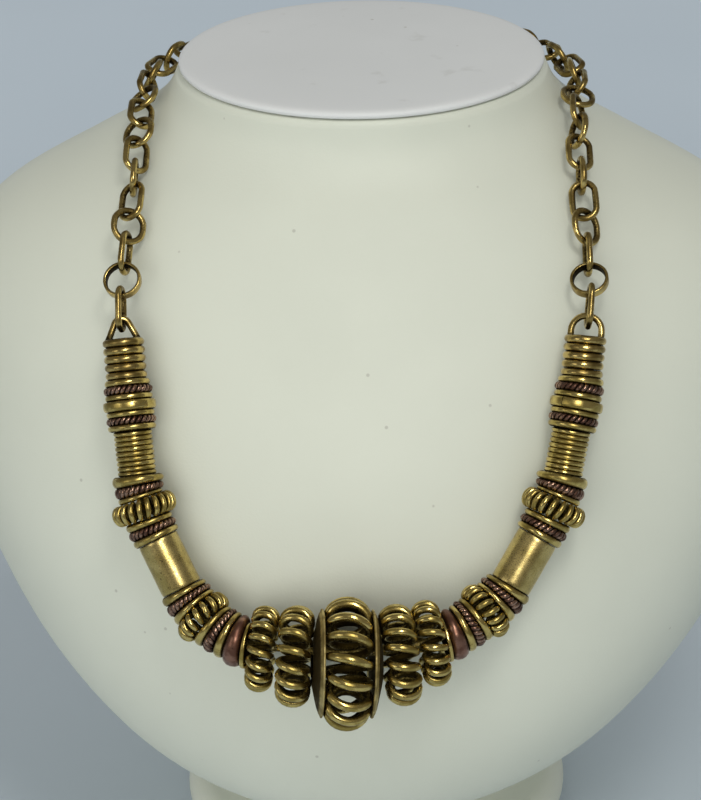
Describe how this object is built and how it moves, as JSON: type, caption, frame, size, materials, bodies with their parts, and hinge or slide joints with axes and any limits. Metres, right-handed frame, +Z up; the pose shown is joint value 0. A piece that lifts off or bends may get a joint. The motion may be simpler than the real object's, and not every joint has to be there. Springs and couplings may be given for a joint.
{
  "type": "collar necklace on neck bust",
  "caption": "Collar necklace of wire-wound brass beads, ribbed beads, coil tubes and twisted copper rings on a link chain, worn by a plain white neck bust.",
  "frame": {"origin": "middle of the underside of the bust's foot", "axes": "+Z up, front towards -Y, the wearer's right side towards -X"},
  "size_m": [0.2726, 0.221, 0.274],
  "materials": {
    "white_leatherette": "smooth white leatherette, slightly warm, satin",
    "aged_brass": "polished high spots over a dark brown patina in the recesses",
    "satin_brass": "satin, finely speckled",
    "rope_copper": "dark twisted copper, bright on the strands",
    "red_copper": "matt reddish copper",
    "dark_bronze": "dark patina with a bright worn edge"
  },
  "bodies": {
    "root": {"bust_body": "white_leatherette", "bust_foot": "white_leatherette", "bust_pad": "white_leatherette", "core_wire": "aged_brass", "centre_coil_bead": "aged_brass", "clasp": "aged_brass", "upper_coil_tube_left": "aged_brass", "spacer_rings_a_left": "aged_brass", "rope_ring_a_left": "rope_copper", "band_ring_left": "aged_brass", "spacer_rings_b_left": "aged_brass", "rope_ring_b_left": "rope_copper", "lower_coil_tube_left": "aged_brass", "spacer_rings_c_left": "aged_brass", "rope_ring_c_left": "rope_copper", "upper_ribbed_bead_left": "aged_brass", "spacer_rings_d_left": "aged_brass", "rope_ring_d_left": "rope_copper", "plain_tube_left": "satin_brass", "spacer_rings_e_left": "aged_brass", "rope_ring_e_left": "rope_copper", "lower_ribbed_bead_left": "aged_brass", "spacer_rings_f_left": "aged_brass", "rope_ring_f_left": "rope_copper", "copper_ring_left": "red_copper", "thin_washer_left": "aged_brass", "outer_coil_bead_left": "aged_brass", "inner_coil_bead_left": "aged_brass", "cup_washer_left": "dark_bronze", "chain_left": "aged_brass", "upper_coil_tube_right": "aged_brass", "spacer_rings_a_right": "aged_brass", "rope_ring_a_right": "rope_copper", "band_ring_right": "aged_brass", "spacer_rings_b_right": "aged_brass", "rope_ring_b_right": "rope_copper", "lower_coil_tube_right": "aged_brass", "spacer_rings_c_right": "aged_brass", "rope_ring_c_right": "rope_copper", "upper_ribbed_bead_right": "aged_brass", "spacer_rings_d_right": "aged_brass", "rope_ring_d_right": "rope_copper", "plain_tube_right": "satin_brass", "spacer_rings_e_right": "aged_brass", "rope_ring_e_right": "rope_copper", "lower_ribbed_bead_right": "aged_brass", "spacer_rings_f_right": "aged_brass", "rope_ring_f_right": "rope_copper", "copper_ring_right": "red_copper", "thin_washer_right": "aged_brass", "outer_coil_bead_right": "aged_brass", "inner_coil_bead_right": "aged_brass", "cup_washer_right": "dark_bronze", "chain_right": "aged_brass"}
  },
  "joints": []
}
